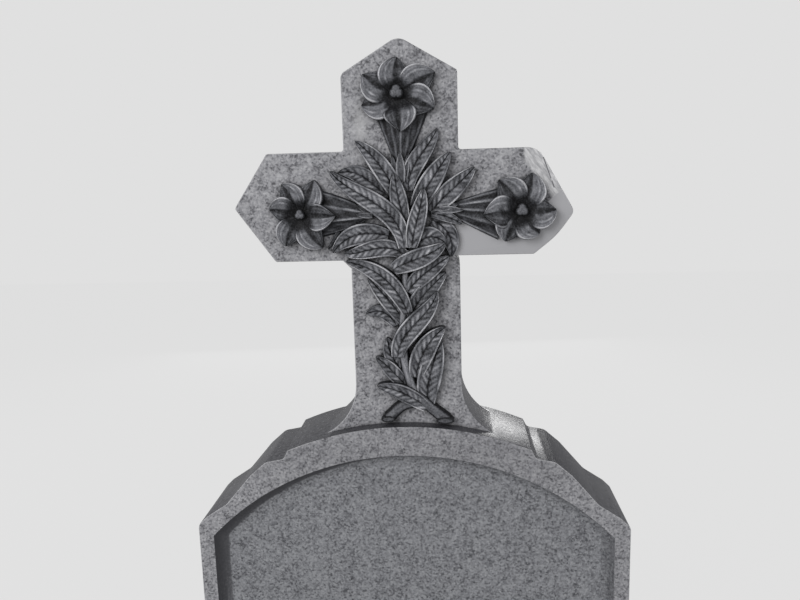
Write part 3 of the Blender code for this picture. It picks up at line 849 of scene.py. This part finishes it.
granite = {
    "ior": 1.54,
    "arrisTone": (0.6, 1.0),    # tones that mark an arris for a painted highlight
}


def graniteBase(name):
    material = bpy.data.materials.new(name)
    material.use_nodes = True
    tree = material.node_tree
    shader = tree.nodes["Principled BSDF"]
    add = partial(addNode, tree)
    place = add("TexCoord").outputs["Object"]
    toneMap = add("UVMap", uv_map="carvedTone")
    tone = add("SeparateXYZ", {"Vector": toneMap})
    return material, add, shader, place, tone


def crystals(add, place, finish):
    # a random grey for each crystal, softened by noise
    cells = add("TexVoronoi", {"Vector": place, "Scale": 1 / finish["grain"]})
    grey = add("SeparateColor", {"Color": cells.outputs["Color"]})
    fine = add("TexNoise", {"Vector": place, "Scale": finish["softening"] / finish["grain"],
                            "Detail": 3.0, "Roughness": 0.6})
    grains = add("Math", (grey, finish["grainShare"], fine), operation="MULTIPLY_ADD")
    return grey, fine, grains


def overlap(add, mask, *others):
    # where all the masks hold
    for other in others:
        mask = add("Math", (mask, other), operation="MULTIPLY")
    return mask


def paint(add, colour, coats):
    # each coat is where it lies and its colour; 6 and 7 are the colour sockets of the node
    for mask, coat in coats:
        coat = linear(coat) if isinstance(coat, str) else coat
        colour = add("Mix", {0: mask, 6: colour, 7: coat}, data_type="RGBA")
    return colour


def unshadedShare(add, reach, corner, face):
    # painted shade in the corners of the relief, from ambient occlusion, and none on the open
    # faces
    hollow = add("AmbientOcclusion", {"Distance": reach}, samples=8)
    return add("MapRange", {
        "Value": hollow.outputs["AO"], "From Min": corner, "From Max": face, "To Min": 0.25})


hammered = {
    "grain": 0.0026,            # feldspar and quartz grains, 2 to 4 mm
    "grainShare": 0.42,
    "softening": 0.8,
    "blotch": 0.011,            # cloudy patches a few grains wide
    "clouds": (0.4, 0.8),       # their strength on the tablet and on the cross
    "colours": [(0.0, "#28282b"), (0.28, "#636367"), (0.52, "#8a8a8e"), (1.0, "#b0b0b3")],
    "recess": "#e7e9ea",        # the sunken panel is painted a little darker, as painted shade
    "recessDepth": (0.0105, 0.0085),    # middle and half of its depth behind the front
    "recessTop": 0.6222,
    "shade": "#4c4c50",         # painted shadow down the left cove and along the arch of the panel, and painted shade on the band over it
    # how dark the low tones are made: painted shadow in the coves, dark grey on the ledge
    "lowToneDarkening": 0.92,
    "fray": 0.22,
    "band": 0.18,               # how much painted shade darkens the arched border
    "bandFrom": (0.555, 0.600),
    "paintedLight": "#b8b8ba",          # painted highlight on the arrises
    "rubbed": 0.40,
    "pits": 0.0024,             # marks of the bush hammer
    "pitDepth": 0.0008,
    "pitting": (0.34, 0.02),    # on the stone and on the repair
    "roughness": 0.85,
    # painted shade in the corners of the relief: its reach, and the occlusion where it is deepest
    # and where it ends
    "cornerDarkening": (0.009, 0.30, 0.70),
}
patches = {
    "frontTo": -0.03,           # they are on the front only
    "washedColour": "#c4c4c5",  # washed pale by rain: middle and half size of each
    "washed": [((-0.052, 0.104), (0.013, 0.032)), ((-0.015, 0.088), (0.007, 0.022))],
    "washedShare": 0.45,
    "bleached": [(0.30, "#98989b"), (0.48, "#bababc"), (0.70, "#e0e0e1")],
    "bleachedSide": (0.157, 0.161),     # bleached tip of the right arm, right of this
    "bleachedLow": (-0.007, -0.003),    # over this, from the middle of the arms
    "bleachedFrom": 0.158,      # and this far out across the upper right edge
    "bleachedSoft": 0.003,
    "edgeAcross": (0.79, 0, 0.61),
    "edgeTurn": math.radians(-53),
    "streaks": (70, 300, 300),
    "scratch": "#707074",       # fine broken line near the tip
    "scratchAt": 0.191,
    "scratchAcross": (0.94, 0, 0.34),
    "scratchHalf": 0.0007,
    "scratchHeight": (0.036, 0.020),    # its middle, from that of the arms, and half its height
    "scratchGaps": 0.45,
    "repair": "#ababae",        # trowelled flat, without grain
    "repairSide": (0.0645, 0.0665),     # the repair lies right of this
    "repairTop": -0.004,        # and under this, from the middle of the arms
    "repairDepth": 0.067,
    "repairBend": 0.185,        # towards the point its top rises
    "repairRise": 0.8,
}


def patchCoats(add, place, x, up, isFront, fine, grey):
    # patches that rain has washed pale
    coats = []
    for (atX, atZ), (wide, high) in patches["washed"]:
        oval = add("Mapping", {
            "Vector": place, "Location": (-atX / wide, 0, -(atZ + armsZ) / high),
            "Scale": (1 / wide, 0, 1 / high)})
        away = add("VectorMath", (oval,), operation="LENGTH")
        ragged = add("Math", (fine, 0.9, away), operation="MULTIPLY_ADD")
        inside = add("MapRange", {
            "Value": ragged, "From Min": 1.5, "From Max": 0.7, "To Max": patches["washedShare"]})
        coats.append((overlap(add, inside, isFront), patches["washedColour"]))

    # the bleached tip of the right arm, with streaks along its upper edge
    slope = add("VectorMath", (place, patches["edgeAcross"]), operation="DOT_PRODUCT")
    edge = patches["bleachedFrom"] + patches["edgeAcross"][2] * armsZ
    soft = patches["bleachedSoft"]
    limits = [add("MapRange", {"Value": value, "From Min": low, "From Max": high})
              for value, (low, high) in (
                  (slope, (edge - soft, edge + soft)), (up, patches["bleachedLow"]),
                  (x, patches["bleachedSide"]))]
    turned = add("Mapping", {"Vector": place, "Rotation": (0, patches["edgeTurn"], 0)})
    stretched = add("VectorMath", (turned, patches["streaks"]), operation="MULTIPLY")
    streaks = add("TexNoise", {"Vector": stretched, "Scale": 1.0, "Detail": 3.0, "Roughness": 0.6})
    bleached = add("ValToRGB", {"Fac": streaks}, stops=patches["bleached"])
    coats.append((overlap(add, *limits, isFront), bleached))

    # a fine broken line near the tip
    across = add("VectorMath", (place, patches["scratchAcross"]), operation="DOT_PRODUCT")
    line = patches["scratchAt"] + patches["scratchAcross"][2] * armsZ
    onLine = add("Math", (across, line, patches["scratchHalf"]), operation="COMPARE")
    middle, half = patches["scratchHeight"]
    onHeight = add("Math", (up, middle, half), operation="COMPARE")
    broken = add("Math", (grey.outputs["Green"], patches["scratchGaps"]), operation="GREATER_THAN")
    coats.append((overlap(add, onLine, onHeight, broken), patches["scratch"]))

    # the smooth repair under the right lily
    beyond = add("Math", (x, patches["repairBend"]), operation="SUBTRACT")
    bend = add("Math", (beyond, 0.0), operation="MAXIMUM")
    top = add("Math", (bend, patches["repairRise"], patches["repairTop"]),
              operation="MULTIPLY_ADD")
    under = add("Math", (top, up), operation="SUBTRACT")
    half = patches["repairDepth"] / 2
    isUnder = add("Math", (under, half, half), operation="COMPARE")
    sideFrom, sideTo = patches["repairSide"]
    isRight = add("MapRange", {"Value": x, "From Min": sideFrom, "From Max": sideTo})
    coats.append((overlap(add, isUnder, isRight, isFront), patches["repair"]))
    return coats


def hammeredGranite():
    # bush-hammered grey granite: crushed crystals scatter the light, so it is pale and dull
    material, add, shader, place, tone = graniteBase("bush-hammered grey granite")
    spot = add("SeparateXYZ", {"Vector": place})
    x, y, z = (spot.outputs[axis] for axis in "XYZ")
    up = add("Math", (z, armsZ), operation="SUBTRACT")
    isFront = add("Math", (y, patches["frontTo"]), operation="LESS_THAN")

    # its crystals, with cloudy patches on the cross
    grey, fine, grains = crystals(add, place, hammered)
    cloud = add("TexNoise", {
        "Vector": place, "Scale": 0.8 / hammered["blotch"], "Detail": 2.0, "Roughness": 0.5})
    onTablet, onCross = hammered["clouds"]
    cloudiness = add("MapRange", {
        "Value": z, "From Min": 0.60, "From Max": 0.68, "To Min": onTablet, "To Max": onCross})
    centred = add("Math", (cloudiness, -0.5, overlap(add, cloud, cloudiness)),
                  operation="MULTIPLY_ADD")
    mixed = add("Math", (grains, centred), operation="ADD")
    spread = add("MapRange", {"Value": mixed, "From Min": 0.20, "From Max": 1.10})
    base = add("ValToRGB", {"Fac": spread}, stops=hammered["colours"])

    # the sunken panel, painted a little darker as shade
    middle, half = hammered["recessDepth"]
    inDepth = add("Math", (y, front + middle, half), operation="COMPARE")
    inHeight = add("Math", (z, hammered["recessTop"]), operation="LESS_THAN")
    recessed = add("Mix", {
        0: overlap(add, inDepth, inHeight), 6: base, 7: linear(hammered["recess"])},
        data_type="RGBA", blend_type="MULTIPLY")

    # painted shade darkening the band over it, painted shadow with a ragged edge in the coves,
    # painted highlights on the arrises
    bandLow, bandHigh = hammered["bandFrom"]
    # painted shade on the border over the panel, coming in over a short rise and then even
    overPanel = add("MapRange", {
        "Value": z, "From Min": bandLow, "From Max": bandHigh, "To Max": hammered["band"]})
    onTablet = add("Math", (y, crossFace - 0.010), operation="LESS_THAN")
    frayed = add("Math", (fine, hammered["fray"], tone), operation="MULTIPLY_ADD")
    lowToneDarkening = add("MapRange", {
        "Value": frayed, "From Min": 0.50, "From Max": 0.16, "To Max": hammered["lowToneDarkening"]})
    highlightLow, highlightHigh = granite["arrisTone"]
    edge = add("MapRange", {
        "Value": tone, "From Min": highlightLow, "From Max": highlightHigh, "To Max": hammered["rubbed"]})
    coats = [(overlap(add, overPanel, onTablet), hammered["shade"]), (lowToneDarkening, hammered["shade"]),
             (edge, hammered["paintedLight"])] + patchCoats(add, place, x, up, isFront, fine, grey)
    repair = coats[-1][0]
    # painted shade in the corners, but none on the repair
    unshaded = add("Math", (unshadedShare(add, *hammered["cornerDarkening"]), repair), operation="MAXIMUM")
    darkened = add("VectorMath", {
        0: paint(add, recessed, coats), "Scale": unshaded}, operation="SCALE")

    pits = add("TexNoise", {
        "Vector": place, "Scale": 1 / hammered["pits"], "Detail": 4.0, "Roughness": 0.65})
    onStone, onRepair = hammered["pitting"]
    smooth = add("MapRange", {"Value": repair, "To Min": onStone, "To Max": onRepair})
    relief = add("Bump", {"Height": pits, "Strength": smooth, "Distance": hammered["pitDepth"]})
    setInputs(shader, {"Base Color": darkened, "Roughness": hammered["roughness"],
                             "IOR": granite["ior"], "Normal": relief})
    return material


polished = {
    "grain": 0.0022,
    "grainShare": 0.3,
    "softening": 0.5,
    "colours": [(0.0, "#2b2b2f"), (0.5, "#4f4f53"), (1.0, "#78787c")],
    # painted highlight on the arrises
    "paintedLight": "#a4a4a6",
    "rubbed": 0.5,
    "cornerDarkening": "#36363a",          # dark grey laid on the ledge in front of the cross
    "lowToneDarkening": 0.85,
    "darkShoulder": [(0.1872, "#000000"), (0.1896, "#dcdcdc"), (0.235, "#a0a0a0"), (0.30, "#000000")],
    "darkShoulderFray": 0.004,
    "darkShoulderDulls": 0.45,
    "roughness": (0.22, 0.40),  # of the hardest and the softest grains
    "waves": 130.0,             # to the metre, left by the polishing head
    "waveDepth": 0.0008,
}


def polishedGranite():
    # honed and polished edges: closed crystals let the light in, so the stone looks darker
    material, add, shader, place, tone = graniteBase("polished grey granite")
    grey, cloud, grains = crystals(add, place, polished)
    spread = add("MapRange", {"Value": grains, "From Min": 0.2, "From Max": 1.1})
    base = add("ValToRGB", {"Fac": spread}, stops=polished["colours"])
    # painted highlight on the arrises
    highlightLow, highlightHigh = granite["arrisTone"]
    edge = add("MapRange", {
        "Value": tone, "From Min": highlightLow, "From Max": highlightHigh, "To Max": polished["rubbed"]})
    # dark grey where the tone is low, which is on the ledge in front of the cross
    lowToneDarkening = add("MapRange", {
        "Value": tone, "From Min": 0.4, "From Max": 0.0, "To Max": polished["lowToneDarkening"]})

    # the right shoulder is darker and duller from the middle of its flat outwards
    fromMiddle = add("SeparateXYZ", {"Vector": place})
    ragged = add("Math", (cloud, polished["darkShoulderFray"], fromMiddle), operation="MULTIPLY_ADD")
    darkShoulder = add("ValToRGB", {"Fac": ragged}, stops=polished["darkShoulder"])
    ledgeAndShoulderDark = add("Math", (lowToneDarkening, darkShoulder), operation="MAXIMUM")
    hard, soft = polished["roughness"]
    gloss = add("MapRange", {
        "Value": grains, "From Min": 0.35, "From Max": 0.95, "To Min": hard, "To Max": soft})
    dull = add("Math", (darkShoulder, polished["darkShoulderDulls"], gloss), operation="MULTIPLY_ADD")
    waves = add("TexNoise", {"Vector": place, "Scale": polished["waves"], "Detail": 3.0})
    relief = add("Bump", {"Height": waves, "Strength": 0.30, "Distance": polished["waveDepth"]})
    colour = paint(add, base, [(edge, polished["paintedLight"]), (ledgeAndShoulderDark, polished["cornerDarkening"])])
    setInputs(shader, {"Base Color": colour, "Roughness": dull, "IOR": granite["ior"],
                       "Normal": relief})
    return material


chiselled = {
    "dust": 0.0021,
    "dusting": 0.12,
    "colours": [(0.0, "#0d0d10"), (0.20, "#424347"), (0.50, "#7c7d82"), (0.90, "#c4c4c8")],
    # painted shade in the corners of the carving: its reach, and the occlusion where it is deepest
    # and where it ends
    "cornerDarkening": (0.010, 0.25, 0.85),
    "roughness": 0.65,
    "specular": 0.25,
    "toolDepth": 0.0005,
}


def carvedGranite():
    # carved with fine chisels: dark where the tool left it smooth, with painted shade where it is
    # deep and painted highlights on its ridges
    material, add, shader, place, tone = graniteBase("chiselled grey granite")
    dust = add("TexNoise", {
        "Vector": place, "Scale": 1 / chiselled["dust"], "Detail": 3.0, "Roughness": 0.6})
    dusting = add("MapRange", {
        "Value": dust, "From Min": 0.3, "From Max": 0.7,
        "To Min": -chiselled["dusting"], "To Max": chiselled["dusting"]})
    # the carving's painted shade and highlights, with a little dust
    paintedLight = add("Math", (tone, dusting), operation="ADD")
    base = add("ValToRGB", {"Fac": paintedLight}, stops=chiselled["colours"])
    # painted shade in the corners of the carving
    darkened = add("VectorMath", {
        0: base, "Scale": unshadedShare(add, *chiselled["cornerDarkening"])}, operation="SCALE")
    relief = add("Bump", {"Height": dust, "Strength": 0.3, "Distance": chiselled["toolDepth"]})
    setInputs(shader, {
        "Base Color": darkened, "Roughness": chiselled["roughness"], "IOR": granite["ior"],
        "Specular IOR Level": chiselled["specular"], "Normal": relief})
    return material


finishes = {
    "hammered": 0.30,           # faces that look forwards or back more than this are hammered
    "arris": (0.20, 0.97),      # and between these they are arrises
    "darkLedgeStretch": 0.13,           # stretch of the arch's edge, from the middle, whose ledge is laid dark grey
    "footEnd": 0.16,            # the right foot's edge gets no painted highlight up to here
    "footDrop": 0.04,
    "coveShade": (46, 40),       # degrees of the cove's turn under painted shadow: the least, and what may come on
    "rightShade": 0.46,
    "bottomShade": (0.3, 0.5),
    "archShadeFrom": 0.02,
    "archShadeRun": 0.27,
    "sharpAngle": 38,
}


def chooseFinish(mesh):
    # chiselled on the carving, hammered on the faces that look forwards or back and in the sunken
    # panel, polished between; tone under 0.5 marks painted shadow in the coves and the dark grey
    # ledge, and 1 marks an arris for a painted highlight
    toneMap = mesh.uv_layers["carvedTone"].uv
    inPanel = tablet["halfWidth"] - panel["side"] + 0.001
    panelTop = tablet["height"] - panel["top"] + 0.001
    spring = tabletCorners()[1][1] - panel["springDrop"]
    arrisLow, arrisHigh = finishes["arris"]

    def coveTone(place):
        # the cove's turn is 0 at the border and 90 degrees at the panel's floor
        turn = math.degrees(math.asin(min(max((place.y - front) / panel["cove"], 0), 1)))
        # painted shadow: full down the left cove, fainter down the right and along the bottom, and
        # along the left of the arch, wider to the left and gone towards its middle
        if place.z < panel["bottom"] + panel["cove"] + 0.001:
            share, amount = finishes["bottomShade"]
        elif place.z < spring:
            share, amount = 1, 1 if place.x < 0 else finishes["rightShade"]
        else:
            share = min(max((finishes["archShadeFrom"] - place.x) / finishes["archShadeRun"], 0), 1)
            amount = min(1, 2.5 * share)
        least, more = finishes["coveShade"]
        end = least + more * share
        return 0.5 - 0.5 * amount * (1 - softStep(turn, end - 8, end + 4))

    for face in mesh.polygons:
        face.use_smooth = True
        if sum(toneMap[i].vector.y for i in face.loop_indices) > face.loop_total / 2:
            face.material_index = 2
            continue
        middle, slope = face.center, abs(face.normal.y)
        inside = (abs(middle.x) < inPanel and panel["bottom"] - 0.001 < middle.z < panelTop
                  and front + 0.0004 < middle.y < front + panel["cove"] + 0.001)
        face.material_index = 0 if slope > finishes["hammered"] or inside else 1
        onArch = (abs(middle.x) < finishes["darkLedgeStretch"] and middle.y < crossFace - 0.003
                  and middle.z > panelTop)
        onFoot = (middle.z > tablet["height"] - finishes["footDrop"]
                  and 0 < middle.x < finishes["footEnd"])
        isArris = arrisLow < slope < arrisHigh and middle.y < 0 and not onArch and not onFoot
        # painted shadow in the coves, dark grey on the ledge, and arrises marked for a painted
        # highlight
        for i, number in zip(face.loop_indices, face.vertices):
            if inside:
                toneMap[i].vector = (coveTone(mesh.vertices[number].co), 0)
            elif onArch and slope < 0.5 or isArris:
                toneMap[i].vector = (1 if isArris else 0, 0)
    mesh.set_sharp_from_angle(angle=math.radians(finishes["sharpAngle"]))


stone = slab("headstone_stone", tabletCorners(), front, -front, tablet["arris"])
crossSlab = slab("crossSlab", crossCorners(), crossFace, -crossFace, cross["arris"])
bakeSteps(stone, [("DIFFERENCE", panelHollow()), ("UNION", crossSlab)], "EXACT")
print("block:", len(stone.data.polygons), "faces")

bm = bmesh.new()
bm.from_mesh(stone.data)
closeShell(bm)
toneFaces(bm, lambda vert: 0.5, 0)
bm.to_mesh(stone.data)
bm.free()

carvePlant()
bakeSteps(stone, [("UNION", shells)], "MANIFOLD")
bpy.data.collections.remove(shells)
stone.data.materials.clear()
for make in (hammeredGranite, polishedGranite, carvedGranite):
    stone.data.materials.append(make())
chooseFinish(stone.data)
stone.data.calc_loop_triangles()
print("stone:", len(stone.data.loop_triangles), "triangles")

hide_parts("headstone")
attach(stone, "root")

studio = {
    "backdrop": "#e0e0e0",
    "ambient": (0.28, 0.28, 0.283, 1),
    "floor": "#2c2c2c",
    "floorGlow": (0.25, 0.728),     # on the stone, and as the camera sees it
    "lights": {                 # place, aim, size, watts
        "keyLight": ((-1.6, -2.2, 2.0), (0, 0, 0.85), (1.9, 1.9), 56),
        "fillLight": ((1.7, -2.4, 1.2), (0, 0, 0.8), (1.8, 1.8), 20),
        "backCard": ((0.68, 2.60, 1.42), (0.14, 0, 0.63), (0.85, 0.80), 10),
        "backLight": ((-0.3, 3.2, 0.6), (0, 0, 0.55), (2.6, 1.0), 30),
        "leftSideLight": ((-3.0, 0.8, 1.3), (0, 0, 0.6), (1.2, 1.2), 40),
        "rightSideLight": ((3.0, 0.8, 1.3), (0, 0, 0.6), (1.2, 1.2), 40),
    },
}

floorBm = bmesh.new()
bmesh.ops.create_grid(floorBm, x_segments=1, y_segments=1, size=6)
floor = newObject("floor", floorBm)
floorMaterial = bpy.data.materials.new("pale floor")
floorMaterial.use_nodes = True
floorTree = floorMaterial.node_tree
cast, seen = studio["floorGlow"]
glow = addNode(floorTree, "MapRange", {
    "Value": addNode(floorTree, "LightPath"), "To Min": cast, "To Max": seen})
setInputs(floorTree.nodes["Principled BSDF"], {
    "Base Color": linear(studio["floor"]), "Roughness": 1.0, "Specular IOR Level": 0.0,
    "Emission Color": (1, 1, 1, 1), "Emission Strength": glow})
floor.data.materials.append(floorMaterial)

world = bpy.data.worlds.new("studio")
bpy.context.scene.world = world
world.use_nodes = True
worldTree = world.node_tree
sky = paint(partial(addNode, worldTree), studio["ambient"], [
    (addNode(worldTree, "LightPath"), studio["backdrop"])])
setInputs(worldTree.nodes["Background"], {"Color": sky})

for name, (place, aim, size, power) in studio["lights"].items():
    light = bpy.data.lights.new(name, "AREA")
    light.shape = "RECTANGLE"
    light.size, light.size_y = size
    light.energy = power
    lamp = bpy.data.objects.new(name, light)
    lamp.location = place
    lamp.rotation_euler = (Vector(aim) - Vector(place)).to_track_quat("-Z", "Y").to_euler()
    lamp.visible_camera = False
    lamp.visible_glossy = name in ("keyLight", "fillLight", "backCard")
    bpy.context.scene.collection.objects.link(lamp)

camera = {
    "place": (0.0655, front - 0.9485, armsZ + 0.0416),
    "pitch": math.radians(9.85),
    "yaw": math.radians(4.25),
    "roll": math.radians(-1.67),
    "lens": 33.03,
}
lens = bpy.data.cameras.new("camera")
lens.lens = camera["lens"]
lens.sensor_width = 36
viewer = bpy.data.objects.new("camera", lens)
viewer.matrix_world = (
    Matrix.Translation(camera["place"]) @ Matrix.Rotation(camera["yaw"], 4, "Z")
    @ Matrix.Rotation(math.pi / 2 - camera["pitch"], 4, "X")
    @ Matrix.Rotation(camera["roll"], 4, "Z"))
bpy.context.scene.collection.objects.link(viewer)
bpy.context.scene.camera = viewer
bpy.context.scene.view_settings.view_transform = "Standard"
